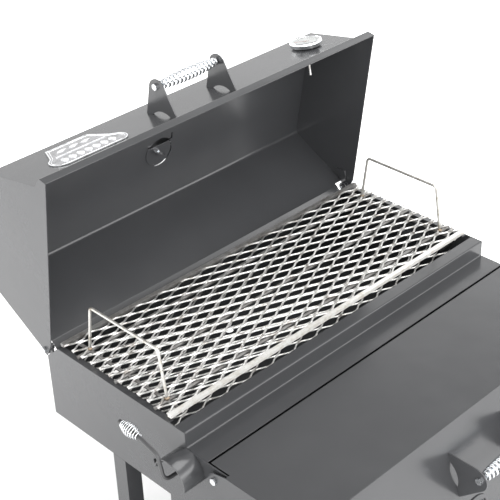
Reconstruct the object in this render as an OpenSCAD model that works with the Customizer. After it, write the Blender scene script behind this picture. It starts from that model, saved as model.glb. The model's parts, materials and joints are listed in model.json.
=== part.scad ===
// Offset smoker: a smoking chamber with a firebox in front of it, on four legs.
// Everything is drawn about the chamber's rim: X runs across, centred between the
// side panels; Y runs from the front rail's face to the back; Z = 0 is the rim.
// stand() then moves it all onto the floor, centred under the whole machine.

/* [Body] */
// Width over the two side panels
body_w = 914; // [820:1:1020]
// Height of the chamber rim above the floor
rim_h = 930; // [880:1:1120]
// Depth of the smoking chamber, front rail to rear wall
chamber_d = 425; // [400:1:510]
// Depth of the chamber below its rim
chamber_h = 187; // [175:1:240]
// Thickness of the body sheet
sheet = 2.5; // [2:0.1:3]
// Width of the folded edges along the chamber's sides
side_flange = 14; // [12:1:18]
// Size of the slope cut off the chamber's rear top edge
rear_slope = 38; // [34:1:42]

/* [Front rail] */
// Height of the front rail above the ledge
rail_h = 37; // [34:1:42]
// Depth of the front rail's top flange
rail_w = 30; // [26:1:34]
// Depth of the ledge in front of the rail
ledge_w = 57; // [55:0.5:60]
// Radius of the bends in the body sheet
bend_r = 3; // [2.6:0.1:4]

/* [Firebox] */
// Reach of the firebox in front of the rail
firebox_reach = 340; // [320:1:400]
// Depth of the firebox floor below the rim
firebox_h = 430; // [400:1:500]
// Distance of the firebox's rear wall behind the rail's face
firebox_back = 57; // [50:1:70]
// Height of the opening for the ash drawer
drawer_h = 60; // [50:1:75]
// Distance of the ash drawer from the side panels' outer faces
drawer_inset = 147; // [90:1:200]
// Clearance round the ash drawer
drawer_gap = 2; // [1:0.5:4]

/* [Smoker lid] */
// Thickness of the lids' sheet
lid_sheet = 2; // [1.5:0.1:2.5]
// Gap between a lid's end caps and the side panels
lid_gap = 6; // [5:0.5:9]
// Gap between the lid's lip and the front rail
lip_gap = 8; // [7:0.5:10]
// Height of the lid's vertical lip
lip_h = 20; // [15:1:26]
// Width of the step between the lip and the front panel
lip_step = 26; // [22:1:30]
// Height of the closed lid above the rim
lid_h = 168; // [150:1:200]
// Slope of the front panel, measured back from upright
lid_lean = 20.5; // [16:0.5:24]
// Slope of the rear panel, measured forward from upright
lid_rear_lean = 19; // [16:0.5:21]
// Angle the lid swings through, open to closed
lid_swing = 80; // [75:1:85]
// Radius of the bends in the lids
lid_bend_r = 3; // [2.6:0.1:5]

/* [Firebox lid] */
// Depth of the firebox lid's top below the rim
fb_lid_drop = 35; // [34:0.5:36]
// Gap between the ledge and the firebox lid
fb_lid_gap = 7; // [6:0.5:9]
// Slope of the firebox lid's front panel from upright
fb_lean = 20.6; // [16:0.5:24]
// Length of the firebox lid's front panel
fb_front = 155; // [130:1:180]
// Length of the notches that let the lid's rear edge pass inside
fb_notch = 50; // [45:1:60]
// Angle the firebox lid opens through
fb_swing = 95; // [90:1:97]

/* [Hinges] */
// Radius of the hinge bolts
bolt_r = 4; // [3:0.5:5]
// Running clearance round the hinge bolts
fit = 0.06; // [0.02:0.01:0.1]
// Thickness of the hinge lugs
lug_t = 4; // [3:0.5:4.5]
// Radius of the hinge lugs round the bolt
lug_r = 11; // [9:0.5:11.5]
// Distance across the flats of the bolt heads and nuts
hex_w = 13; // [11:0.5:15]
// Thickness of the bolt heads and nuts
hex_t = 5.2; // [4:0.1:6]

/* [Handles] */
// Distance between the outer faces of a handle's ears
handle_w = 174; // [150:1:220]
// Width of an ear along the lid
ear_w = 97; // [90:1:104]
// Height of the grip's centre above the lid
grip_h = 64; // [60:1:80]
// Thickness of an ear
ear_t = 3; // [2:0.5:5]
// Radius of an ear's rounded top
ear_r = 25; // [22:0.5:28]
// Height of the centre of that rounded top
ear_top = 55; // [50:1:60]
// Half the width of the arch cut out of an ear's foot
ear_arch = 28; // [22:0.5:34]
// Height of that arch
ear_arch_h = 9; // [6:0.5:14]
// Radius of the bolt through a grip
grip_bolt_r = 4; // [3:0.5:5]
// Radius of a grip at its middle
grip_r = 15; // [13:0.5:17]
// Radius of a grip at its ends
grip_end_r = 10; // [8:0.5:11]
// Thickness of the wire a grip is wound from
grip_wire = 4; // [3:0.5:5]
// Turns of wire in a grip
grip_turns = 16; // [12:1:20]

/* [Thermometer and nameplate] */
// Radius of the thermometer's rim
dial_r = 38; // [32:1:44]
// Depth of the thermometer's case
dial_t = 17; // [14:0.5:22]
// Length of the probe inside the lid
probe_l = 66; // [50:1:90]
// Radius of the probe
probe_r = 3; // [2:0.5:4]
// Width of the nameplate
plate_w = 188; // [160:1:200]
// Height of the nameplate
plate_h = 104; // [90:1:110]
// Thickness of the nameplate
plate_t = 3; // [2:0.5:4]

/* [Exhaust] */
// Radius of the exhaust opening
exhaust_r = 36; // [30:1:42]
// Overlap of the exhaust plate beyond its opening
exhaust_lap = 3; // [2:0.5:5]
// Thickness of the exhaust plate
exhaust_t = 1.5; // [1:0.1:2.5]

/* [Grates] */
// Pitch of the expanded mesh along the grate
mesh_x = 65; // [55:1:75]
// Pitch of the expanded mesh across the grate
mesh_y = 28.3; // [24:0.1:34]
// Width of a strand of the mesh
strand = 5; // [4:0.5:7]
// Thickness of the mesh
mesh_t = 5; // [3:0.5:6]
// Radius of the rods under a grate
rod_r = 4; // [3:0.5:5]
// Width of the bars along a grate's edges
edge_bar = 10; // [8:1:14]
// Radius of the wire of the grate handles
wire_r = 3.2; // [2.5:0.1:4]
// Height of the grate handles above the mesh
wire_h = 108; // [90:1:120]
// Depth of the lower grate below the rim
lower_z = 40; // [34:1:60]
// Width of the angle rails that carry the inner grates
rail_angle = 20; // [15:1:25]
// Depth of the charcoal grate below the rim
charcoal_z = 330; // [300:1:345]

/* [Damper] */
// Radius of the damper's shaft
shaft_r = 4; // [3:0.5:5]
// Height of the damper's shaft below the rim
shaft_drop = 75; // [73:1:78]
// Distance of the flap's ends from the side panels' outer faces
flap_inset = 77; // [60:1:120]
// Length of the flap from shaft to tip
flap_l = 104; // [100:1:108]
// Thickness of the flap
flap_t = 3; // [2:0.5:4]
// Distance of the damper's arm outside the side panel
arm_out = 60; // [57:1:70]
// Radius of the half-round guard over the shaft
guard_r = 42; // [39:1:44]
// Length of the guard
guard_l = 50; // [45:1:52]
// Length of the coil knob
knob_l = 60; // [50:1:70]
// Radius of the coil knob
knob_r = 13.5; // [12:0.5:16]

/* [Legs and wheels] */
// Size of the square leg tube
leg = 38; // [32:1:42]
// Wall of the leg tube
leg_wall = 2; // [1.5:0.5:4]
// Distance of the rear legs' front face behind the rail
rear_leg_y = 195; // [150:1:230]
// Distance of the front legs' front face before the rail
front_leg_y = 300; // [250:1:310]
// Radius of the wheels
wheel_r = 100; // [85:1:115]
// Width of the tyres
tyre_w = 38; // [30:1:46]
// Radius of the axle
axle_r = 6; // [5:0.5:8]
// Height of the shelf above the floor
shelf_z = 220; // [215:1:300]

/* [Hidden] */

$fn = 48;
// Small gap between pieces that move past each other
gap = 0.3;
// Overshoot of a cut past the face it opens
cut = 1;
// Steps in the arc of a bend
bend_steps = 6;

half_w = body_w / 2;
flap_w = body_w - 2 * flap_inset;
drawer_w = body_w - 2 * drawer_inset;
cap_in = half_w + lid_gap;
cap_out = cap_in + lid_sheet;
inner_w = half_w - sheet;

// Pivot of the smoker lid, on the hinge bolts
lid_pivot = [chamber_d - 6, -14];
// Corners of the closed lid, from the lip to the rear edge
lid_front_run = (lid_h - lip_step / 2) * tan(lid_lean);
lid_foot = [lip_step - lip_gap, lip_step / 2];
lid_crease = [lid_foot.x + lid_front_run, lid_h];
lid_rear_edge = [lid_pivot.x - 1, lid_pivot.y + 10];
lid_rear_crease = [lid_rear_edge.x - (lid_h - lid_rear_edge.y) * tan(lid_rear_lean), lid_h];
// The lid's rear hem lands on the chamber's sloping edge and stops the lid
hem_r = 12.6;
hem_a = -31;
lid_hem = lid_pivot + hem_r * [cos(hem_a), sin(hem_a)];
lid_path = [[-lip_gap, -lip_h], [-lip_gap, 0], lid_foot, lid_crease, lid_rear_crease,
    lid_rear_edge, lid_hem];
lid_front_l = norm(lid_crease - lid_foot);
lid_front_a = 90 - lid_lean;

// Pivot of the firebox lid
fb_pivot = [-85, -59];
fb_rear = -ledge_w - fb_lid_gap;
fb_crease = [-firebox_reach + 25, -fb_lid_drop];
fb_foot = fb_crease + fb_front * [-sin(fb_lean), -cos(fb_lean)];
fb_path = [[fb_rear, -fb_lid_drop], fb_crease, fb_foot];
// Top edge of the firebox's side panels, just under the lid
fb_top = -fb_lid_drop - lid_sheet - gap;

// Sloping rear edge of the chamber
slope_top = [chamber_d - rear_slope - 2, 0];
slope_end = [chamber_d, slope_top.y - rear_slope + 2];

// Damper shaft and its arm, as points in Y and Z
shaft = [-4, -shaft_drop];
elbow = shaft + [15, 54];
knob_from = elbow + [47, 13];
knob_to = knob_from + knob_l * [0.99, 0.13];
arm_x = -half_w - arm_out;

// Places along the lids' front panels
lid_handle_x = -4;
lid_handle_u = 66;
fb_handle_x = lid_handle_x;
fb_handle_u = 98;
plate_x = -290;
plate_u = 31;
dial_x = 377;
dial_u = 93;

// Exhaust opening on the lid's top, across and back from the front crease
exhaust_x = -5;
exhaust_u = 145;
vent_pivot = [-11, -9];
vent_bolt_r = 3;

// Grates
grate_x = half_w - 7;
grate_y0 = rail_w + 15;
grate_y1 = chamber_d - 43;
mesh_z = 2 * rod_r;
// Rods along X: front, middle and rear
rod_y = [grate_y0 + 47, (grate_y0 + grate_y1 - 8) / 2, grate_y1 - 55];
wire_y = [rod_y[0], rod_y[2]];
wire_x = half_w - 39;
wire_bend = 10;
wire_lean = 16;

// Wheels reach as far beyond the right side as the knob does beyond the left
axle_x = half_w + arm_out + knob_r - wheel_r;
axle_z = wheel_r - rim_h;
hub_w = tyre_w + 6;
leg_right_x = axle_x - leg / 2;
rear_leg_back = rear_leg_y + leg;
axle_ends = [-front_leg_y - hub_w - 14, rear_leg_back + hub_w + 14];

// Reach of the open lid at the back and the firebox handle at the front
lid_open = [cos(-lid_swing), sin(-lid_swing)];
reach_back = lid_pivot.x + (lid_rear_crease - lid_pivot) * [lid_open.x, -lid_open.y];
reach_front = (fb_foot - fb_crease) / fb_front * fb_handle_u * [1, 0]
    + fb_crease.x - (ear_top + ear_r) * cos(fb_lean);
middle_y = (reach_back + reach_front) / 2;

black = "#2b2c2e";
steel = "#b9bbbd";
zinc = "#d5d8da";

// ---- Shared shapes -------------------------------------------------------

// Direction from one point to another
function dir(a, b) = (b - a) / norm(b - a);

// Unit vector a quarter turn to the left
function left_of(v) = [-v.y, v.x];

// Arc of points that rounds the corner b of the path a, b, c
function bend(a, b, c, r) =
    let (u = dir(b, a), v = dir(b, c), half = acos(u * v) / 2,
        centre = b + dir([0, 0], u + v) * r / sin(half),
        p = b + u * r / tan(half) - centre,
        q = b + v * r / tan(half) - centre,
        turn = 180 - 2 * half)
    [for (i = [0:bend_steps])
        let (t = i / bend_steps)
        centre + (p * sin((1 - t) * turn) + q * sin(t * turn)) / sin(turn)];

// Open path with its corners rounded
function rounded(path, r) = [
    path[0],
    for (i = [1:len(path) - 2]) each bend(path[i - 1], path[i], path[i + 1], r),
    path[len(path) - 1]];

// Path moved to its left by t
function offset_path(p, t) = [
    for (i = [0:len(p) - 1])
        let (u = i > 0 ? dir(p[i - 1], p[i]) : dir(p[0], p[1]),
            v = i < len(p) - 1 ? dir(p[i], p[i + 1]) : u,
            n = left_of(u) + left_of(v))
        p[i] + n * 2 * t / (n * n)];

function reversed(p) = [for (i = [len(p) - 1:-1:0]) p[i]];

// Outline of a bent sheet whose outer face follows the path
module bent_sheet(path, t, r) {
    outer = rounded(path, r);
    polygon(concat(outer, reversed(offset_path(outer, t))));
}

// Moves the machine from the rim's frame onto the floor
module stand() {
    translate([0, -middle_y, rim_h]) children();
}

// Extrudes an outline drawn in Y and Z along X
module along_x(from, to) {
    translate([from, 0, 0]) rotate([90, 0, 90]) linear_extrude(to - from) children();
}

// Both sides of the machine, the second one mirrored
module both_sides() {
    children();
    mirror([1, 0, 0]) children();
}

// Turns the smoker lid from closed to the open position it rests in
module open_lid() {
    translate([0, lid_pivot.x, lid_pivot.y]) rotate([-lid_swing, 0, 0])
        translate([0, -lid_pivot.x, -lid_pivot.y]) children();
}

// Frame on a lid's front panel: X across, Y up the panel, Z outward
module on_lid_front(x, u) {
    translate([x, lid_foot.x, lid_foot.y]) rotate([lid_front_a, 0, 0])
        translate([0, u, 0]) children();
}

module on_firebox_front(x, u) {
    translate([x, fb_crease.x, fb_crease.y]) rotate([90 - fb_lean, 0, 0])
        translate([0, -u, 0]) children();
}

// Frame on the lid's top: X across, Y back from the front crease, Z outward
module on_lid_top(x, u) {
    translate([x, lid_crease.x + u, lid_crease.y]) children();
}

module hexagon(t) {
    cylinder(h = t, r = hex_w / 2 / cos(30), $fn = 6);
}

// Turns a piece drawn up Z to lie along X
module turn_to_x() {
    rotate([0, 90, 0]) children();
}

// Round disc with its axis along X
module disc_x(from, to, y, z, r) {
    translate([from, y, z]) turn_to_x() cylinder(h = to - from, r = r);
}

// Rod with round ends between two points
module rod(a, b, r) {
    v = b - a;
    translate(a) rotate([0, acos(v.z / norm(v)), atan2(v.y, v.x)])
        cylinder(h = norm(v), r = r);
}

// ---- Body ----------------------------------------------------------------

// Outline of a side panel: chamber and firebox in one sheet
module side_outline() {
    polygon([[0, 0], slope_top, slope_end, [chamber_d, -chamber_h],
        [firebox_back, -chamber_h], [firebox_back, -firebox_h],
        [-firebox_reach, -firebox_h], [-firebox_reach, fb_foot.y + 8],
        [fb_crease.x + 8, fb_top], [-ledge_w, fb_top], [0, fb_top]]);
}

module side_panel_plate() {
    difference() {
        along_x(-half_w, -inner_w) side_outline();
        disc_x(-half_w - cut, -inner_w + cut, shaft.x, shaft.y, shaft_r + fit);
        disc_x(-half_w - cut, -inner_w + cut, fb_pivot.x, fb_pivot.y, bolt_r + fit);
    }
    translate([-inner_w, grate_y0, -sheet])
        cube([side_flange - sheet, slope_top.x - sheet - grate_y0, sheet]);
}

// Hole in the left panel for a probe's lead
module side_panel_left() {
    color(black) stand() difference() {
        side_panel_plate();
        disc_x(-half_w - cut, -inner_w + cut, 92, -127, 9);
    }
}

module side_panel_right() {
    color(black) stand() mirror([1, 0, 0]) side_panel_plate();
}

// Folded rail along the chamber's front edge, with the ledge before it
module front_rail() {
    color(black) stand() along_x(-inner_w, inner_w)
        bent_sheet([[-ledge_w, -rail_h], [0, -rail_h], [0, 0], [rail_w, 0]], -sheet, bend_r);
}

// Wall between chamber and firebox, with the window the flap closes
module chamber_front_wall() {
    window = [flap_w - 40, 62];
    color(black) stand() difference() {
        along_x(-inner_w, inner_w)
            polygon([[rail_w - sheet, -sheet], [rail_w, -sheet], [rail_w, -chamber_h],
                [rail_w - sheet, -chamber_h]]);
        translate([-window.x / 2, rail_w - sheet - cut, -110 - window.y])
            cube([window.x, sheet + 2 * cut, window.y]);
    }
}

// Rear wall with its sloping top edge, notched at the ends for the hinge lugs
module chamber_rear_wall() {
    notch = [lug_t + gap, lug_r + 8, -slope_end.y + 1];
    color(black) stand() difference() {
        along_x(-inner_w, inner_w)
            bent_sheet([slope_top, slope_end, [chamber_d, -chamber_h]], -sheet, bend_r);
        both_sides() translate([-inner_w - cut, lid_pivot.x - lug_r - 1, slope_end.y - 1])
            cube([notch.x + cut, notch.y, notch.z + cut]);
    }
}

module chamber_floor() {
    color(black) stand() difference() {
        translate([-inner_w, rail_w, -chamber_h])
            cube([2 * inner_w, chamber_d - sheet - rail_w, sheet]);
        translate([0, chamber_d - 60, -chamber_h - cut])
            cylinder(h = sheet + 2 * cut, r = 10);
    }
}

// Rear legs run up to the chamber's floor, front legs to the firebox's
module leg_tube(x, y, from, to) {
    translate([x, y, from]) difference() {
        cube([leg, leg, to - from]);
        translate([leg_wall, leg_wall, -cut])
            cube([leg - 2 * leg_wall, leg - 2 * leg_wall, to - from + 2 * cut]);
    }
}

// A right leg ends round the axle, which passes through it along Y
module right_leg(y, top) {
    difference() {
        leg_tube(leg_right_x, y, axle_z - leg / 2, top);
        translate([axle_x, y - cut, axle_z]) rotate([-90, 0, 0])
            cylinder(h = leg + 2 * cut, r = axle_r);
    }
}

module leg_rear_left() {
    color(black) stand() leg_tube(-half_w, rear_leg_y, 8 - rim_h, -chamber_h);
}

module leg_rear_right() {
    color(black) stand() right_leg(rear_leg_y, -chamber_h);
}

module leg_front_left() {
    color(black) stand() leg_tube(-half_w, -front_leg_y, 8 - rim_h, -firebox_h - sheet);
}

module leg_front_right() {
    color(black) stand() right_leg(-front_leg_y, -firebox_h - sheet);
}

// Plastic glides plugged into the left legs
module leg_glides() {
    color("#1c1c1c") stand() for (y = [rear_leg_y, -front_leg_y]) {
        translate([-half_w, y, -rim_h]) {
            cube([leg, leg, 8]);
            translate([leg_wall, leg_wall, 8])
                cube([leg - 2 * leg_wall, leg - 2 * leg_wall, 18]);
        }
    }
}

// Shelf tray between the legs, with its rim turned down
module lower_shelf() {
    z = shelf_z - rim_h;
    x0 = -half_w + leg;
    y0 = -front_leg_y;
    size = [leg_right_x - x0, rear_leg_back - y0];
    color(black) stand() difference() {
        translate([x0, y0, z - 25]) cube([size.x, size.y, 25]);
        translate([x0 + sheet, y0 + sheet, z - 25 - cut])
            cube([size.x - 2 * sheet, size.y - 2 * sheet, 25 + cut - sheet]);
    }
}

module axle() {
    color(zinc) stand() translate([axle_x, axle_ends[0], axle_z]) rotate([-90, 0, 0])
        cylinder(h = axle_ends[1] - axle_ends[0], r = axle_r);
}

module axle_nuts() {
    color(zinc) stand() for (y = [axle_ends[0] + 2, axle_ends[1] - 10]) {
        translate([axle_x, y, axle_z]) rotate([-90, 0, 0]) difference() {
            cylinder(h = 8, r = 2 * axle_r);
            translate([0, 0, -cut]) cylinder(h = 8 + 2 * cut, r = axle_r);
        }
    }
}

// Dished wheel turning about Y, centred on its hub
module dished_wheel() {
    rim_r = wheel_r - 14;
    rim_half = tyre_w / 2 - 3;
    web_half = rim_half - 6;
    rotate([90, 0, 0]) rotate_extrude() polygon([[axle_r + fit, -hub_w / 2], [20, -hub_w / 2],
        [22, -web_half], [rim_r - 14, -web_half], [rim_r - 10, -rim_half], [rim_r, -rim_half],
        [rim_r, rim_half], [rim_r - 10, rim_half], [rim_r - 14, web_half], [22, web_half],
        [20, hub_w / 2], [axle_r + fit, hub_w / 2]]);
}

module tyre_ring() {
    rim_r = wheel_r - 14;
    half = tyre_w / 2;
    rotate([90, 0, 0]) rotate_extrude()
        polygon([[rim_r, -half + 3], [wheel_r - 5, -half], [wheel_r, -half + 6],
            [wheel_r, half - 6], [wheel_r - 5, half], [rim_r, half - 3]]);
}

wheel_front_y = -front_leg_y - 2 - hub_w / 2;
wheel_rear_y = rear_leg_back + 2 + hub_w / 2;

module wheel_front() {
    color("#1c1c1c") stand() translate([axle_x, wheel_front_y, axle_z]) dished_wheel();
}

module tyre_front() {
    color("#141414") stand() translate([axle_x, wheel_front_y, axle_z]) tyre_ring();
}

module wheel_rear() {
    color("#1c1c1c") stand() translate([axle_x, wheel_rear_y, axle_z]) dished_wheel();
}

module tyre_rear() {
    color("#141414") stand() translate([axle_x, wheel_rear_y, axle_z]) tyre_ring();
}

// ---- Firebox -------------------------------------------------------------

vent_z = -300;
// Reach of the air vent's bolt inside the wall
vent_bolt_in = 12;

module firebox_front_wall() {
    w = drawer_w + 2 * drawer_gap;
    color(black) stand() difference() {
        along_x(-inner_w, inner_w)
            polygon([[-firebox_reach, fb_foot.y + 8], [sheet - firebox_reach, fb_foot.y + 8],
                [sheet - firebox_reach, -firebox_h], [-firebox_reach, -firebox_h]]);
        translate([-w / 2, -firebox_reach - cut, -firebox_h - cut])
            cube([w, sheet + 2 * cut, drawer_h + 2 * drawer_gap + cut]);
        translate([0, -firebox_reach, vent_z]) rotate([90, 0, 0]) vent_holes(cut + sheet);
        translate([0, -firebox_reach - cut, vent_z]) rotate([-90, 0, 0])
            cylinder(h = sheet + 2 * cut, r = bolt_r);
    }
}

// Three round holes in a ring, the same in the wall and in its disc
module vent_holes(depth) {
    for (i = [0:2]) {
        rotate(i * 120 + 90) translate([30, 0, 0])
            cylinder(h = 2 * depth, r = 12, center = true);
    }
}

module firebox_rear_wall() {
    color(black) stand() translate([-inner_w, firebox_back - sheet, -firebox_h])
        cube([2 * inner_w, sheet, firebox_h - chamber_h]);
}

module firebox_floor() {
    color(black) stand() translate([-half_w, -firebox_reach, -firebox_h - sheet])
        cube([body_w, firebox_reach + firebox_back, sheet]);
}

// Disc that turns in front of the air holes
module air_vent_disc() {
    color(black) stand() translate([0, -firebox_reach - gap, vent_z]) rotate([90, 0, 0])
        difference() {
            union() {
                cylinder(h = 2, r = 48);
                translate([38, -5, 2]) cube([8, 10, 12]);
            }
            rotate(60) vent_holes(4);
            translate([0, 0, -cut]) cylinder(h = 2 + 2 * cut, r = bolt_r + fit);
        }
}

module air_vent_bolt() {
    color(zinc) stand() translate([0, 0, vent_z]) rotate([90, 0, 0]) {
        translate([0, 0, firebox_reach - vent_bolt_in]) cylinder(h = vent_bolt_in + 3, r = bolt_r);
        translate([0, 0, firebox_reach + 2 + 2 * gap]) cylinder(h = 4, r = 9);
        translate([0, 0, firebox_reach - sheet - 6]) hexagon(6);
    }
}

// Open tray that slides out under the charcoal grate
module ash_drawer() {
    size = [drawer_w, firebox_reach + firebox_back - sheet - 10, drawer_h];
    color(black) stand() {
        translate([-size.x / 2, -firebox_reach - 2, -firebox_h + gap]) difference() {
            cube(size);
            translate([sheet, sheet, sheet])
                cube([size.x - 2 * sheet, size.y - 2 * sheet, size.z]);
        }
        translate([-60, -firebox_reach - 2, -firebox_h + drawer_h / 2]) drawer_pull();
    }
}

// Bent wire pull on the drawer's front
module drawer_pull() {
    for (x = [0, 120]) {
        translate([x, 0, 0]) rotate([90, 0, 0]) cylinder(h = 26, r = 4);
    }
    translate([0, -26, 0]) sphere(r = 4);
    translate([120, -26, 0]) sphere(r = 4);
    translate([0, -26, 0]) turn_to_x() cylinder(h = 120, r = 4);
}

// ---- Hinges --------------------------------------------------------------

// Outline of a lug: a round eye and the plate that carries it
module lug_outline(foot) {
    translate(lid_pivot) circle(r = lug_r);
    polygon(foot);
}

// Lugs inside the chamber's side panels, standing above the sloping edge
module chamber_hinge_lugs() {
    foot = [lid_pivot + [-lug_r, 0], lid_pivot + [-lug_r, -40], lid_pivot + [1, -40],
        lid_pivot + [lug_r * 0.2, -lug_r * 0.8]];
    color("#232323") stand() both_sides() difference() {
        along_x(-inner_w, lug_t - inner_w) lug_outline(foot);
        disc_x(-inner_w - cut, lug_t - inner_w + cut, lid_pivot.x, lid_pivot.y, bolt_r);
    }
}

module lid_hinge_lugs() {
    foot = [lid_pivot + [-4, lug_r * 0.9], lid_pivot + [-34, 40], lid_pivot + [-40, 8],
        lid_pivot + [-lug_r, -2]];
    color("#232323") stand() open_lid() both_sides() difference() {
        along_x(-cap_in, lug_t - cap_in) lug_outline(foot);
        disc_x(-cap_in - cut, lug_t - cap_in + cut, lid_pivot.x, lid_pivot.y, bolt_r + fit);
    }
}

// Bolt from outside a cap, its head first
module hinge_bolt(p, length) {
    translate([-cap_out - gap - hex_t, p.x, p.y]) turn_to_x() hexagon(hex_t);
    disc_x(-cap_out - gap - cut, length - cap_out, p.x, p.y, bolt_r);
}

lid_bolt_l = lid_gap + lid_sheet + sheet + lug_t + hex_t + 2;
fb_bolt_l = lid_gap + lid_sheet + sheet + hex_t + 2;

module hinge_bolts() {
    color(zinc) stand() both_sides() {
        hinge_bolt(lid_pivot, lid_bolt_l);
        hinge_bolt(fb_pivot, fb_bolt_l);
    }
}

// Nut on a hinge bolt, against the inner face at x
module hinge_nut(x, p) {
    difference() {
        translate([x, p.x, p.y]) turn_to_x() hexagon(hex_t);
        disc_x(x - cut, x + hex_t + cut, p.x, p.y, bolt_r);
    }
}

module hinge_nuts() {
    color(zinc) stand() both_sides() {
        hinge_nut(sheet + lug_t - half_w, lid_pivot);
        hinge_nut(-inner_w, fb_pivot);
    }
}

// Tabs inside the firebox that the open lid's rear edge lands on
module firebox_lid_stops() {
    turned = fb_pivot + turn2([fb_rear, -fb_lid_drop] - fb_pivot, -fb_swing);
    color(black) stand() both_sides()
        translate([-inner_w, turned.x - 8, turned.y - 12 - gap]) cube([20, 11, 12]);
}

function turn2(v, a) = [v.x * cos(a) - v.y * sin(a), v.x * sin(a) + v.y * cos(a)];

// ---- Smoker lid ----------------------------------------------------------

module lid_shell() {
    color(black) stand() open_lid() difference() {
        along_x(-cap_in, cap_in) bent_sheet(lid_path, -lid_sheet, lid_bend_r);
        on_lid_front(dial_x, dial_u) translate([0, 0, -lid_sheet - cut])
            cylinder(h = lid_sheet + 2 * cut, r = probe_r + 2);
        both_sides() disc_x(-cap_in - cut, lug_t + 2 * hex_t - inner_w, lid_pivot.x,
            lid_pivot.y, hem_r + 4);
        on_lid_top(exhaust_x, exhaust_u) translate([0, 0, -lid_sheet - cut]) {
            cylinder(h = lid_sheet + 2 * cut, r = exhaust_r);
            translate([-36, -26, 0]) cube([73, 4, lid_sheet + 2 * cut]);
            translate([33, -39, 0]) cube([4, 14, lid_sheet + 2 * cut]);
        }
    }
}

// Outline of an end cap, which reaches down past the rim outside the side panel
module lid_cap_outline() {
    polygon(concat(
        rounded([[-lip_gap, -lip_h], [-lip_gap, 0], lid_foot, lid_crease, lid_rear_crease,
            lid_pivot + [1.3, 10]], lid_bend_r),
        [lid_pivot + [hem_r, -6], lid_pivot + [-4, -hem_r], lid_pivot + [-26, -19]]));
}

module lid_cap_plate() {
    difference() {
        along_x(-cap_out, -cap_in) lid_cap_outline();
        disc_x(-cap_out - cut, cut - cap_in, lid_pivot.x, lid_pivot.y, bolt_r + fit);
    }
}

module lid_cap_left() {
    color(black) stand() open_lid() lid_cap_plate();
}

module lid_cap_right() {
    color(black) stand() open_lid() mirror([1, 0, 0]) lid_cap_plate();
}

// ---- Handles -------------------------------------------------------------

// Angle at which a tangent from the ear's foot meets its round top
function ear_tangent() =
    let (b = ear_w / 2, d = norm([b, ear_top]))
    acos(ear_r / d) - atan2(ear_top, b);

// Ear drawn in its own plane: along the panel, then up to the grip
module ear_outline() {
    a = ear_tangent();
    t = [ear_r * cos(a), ear_top + ear_r * sin(a)];
    arch_r = (ear_arch * ear_arch + ear_arch_h * ear_arch_h) / (2 * ear_arch_h);
    difference() {
        union() {
            translate([0, ear_top]) circle(r = ear_r);
            polygon([[-ear_w / 2, 0], [ear_w / 2, 0], t, [-t.x, t.y]]);
        }
        translate([0, ear_arch_h - arch_r]) circle(r = arch_r);
        translate([0, grip_h]) circle(r = grip_bolt_r);
    }
}

module handle_ears() {
    for (x = [-handle_w / 2, handle_w / 2 - ear_t]) {
        translate([x, 0, 0]) rotate([90, 0, 90]) linear_extrude(ear_t) ear_outline();
    }
}

// Bolt right through the grip, a head at one end and a nut at the other
module handle_bolt() {
    translate([-handle_w / 2 - hex_t, 0, grip_h]) turn_to_x() {
        hexagon(hex_t);
        cylinder(h = handle_w + 2 * hex_t + 2, r = grip_bolt_r);
        translate([0, 0, handle_w + hex_t]) hexagon(hex_t);
    }
}

// Barrel wound from wire: a ripple for every turn, round an open bore
function grip_radius(t, ends, middle) = ends + (middle - ends) * sin(180 * t);

module coil_barrel(length, ends, middle, turns) {
    steps = turns * 4;
    ripple = grip_wire * 0.22;
    rotate_extrude() polygon(concat(
        [[grip_bolt_r + gap, 0], [ends - grip_wire / 2, 0]],
        [for (i = [1:steps - 1])
            let (t = i / steps)
            [grip_radius(t, ends, middle) - ripple * (1 + cos(360 * t * turns)), length * t]],
        [[ends - grip_wire / 2, length], [grip_bolt_r + gap, length]]));
}

module handle_coil() {
    from = ear_t + 1;
    translate([from - handle_w / 2, 0, grip_h]) turn_to_x()
        coil_barrel(handle_w - 2 * from, grip_end_r, grip_r, grip_turns);
}

module lid_handle_ears() {
    color(black) stand() open_lid() on_lid_front(lid_handle_x, lid_handle_u) handle_ears();
}

module lid_handle_bolt() {
    color(zinc) stand() open_lid() on_lid_front(lid_handle_x, lid_handle_u) handle_bolt();
}

module lid_handle_coil() {
    color(zinc) stand() open_lid() on_lid_front(lid_handle_x, lid_handle_u) handle_coil();
}

module firebox_handle_ears() {
    color(black) stand() on_firebox_front(fb_handle_x, fb_handle_u) handle_ears();
}

module firebox_handle_bolt() {
    color(zinc) stand() on_firebox_front(fb_handle_x, fb_handle_u) handle_bolt();
}

module firebox_handle_coil() {
    color(zinc) stand() on_firebox_front(fb_handle_x, fb_handle_u) handle_coil();
}

// ---- Nameplate and thermometer -------------------------------------------

// Blank plate: a wide foot with round ends, and a top that tapers in
module nameplate() {
    w = plate_w / 2;
    r = plate_h * 0.26;
    color(zinc) stand() open_lid() on_lid_front(plate_x, plate_u) linear_extrude(plate_t) {
        for (x = [r - w, w - r]) {
            translate([x, r]) circle(r = r);
        }
        translate([r - w, 0]) square([2 * (w - r), r]);
        polygon([[-w * 0.8, r], [w * 0.8, r], [w * 0.8, plate_h * 0.54], [w * 0.56, plate_h],
            [-w * 0.56, plate_h], [-w * 0.8, plate_h * 0.54]]);
    }
}

module on_dial() {
    color(zinc) stand() open_lid() on_lid_front(dial_x, dial_u) children();
}

dial_face_z = dial_t - 5;

// Case with a rolled rim round the face
module thermometer_case() {
    on_dial() rotate_extrude() polygon([[probe_r, 1], [dial_r - 6, 1], [dial_r - 2, 4],
        [dial_r, dial_t - 5], [dial_r - 1, dial_t - 1.5], [dial_r - 4, dial_t],
        [dial_r - 6, dial_t - 1.6], [dial_r - 6, dial_face_z - 1], [probe_r, dial_face_z - 1]]);
}

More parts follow.
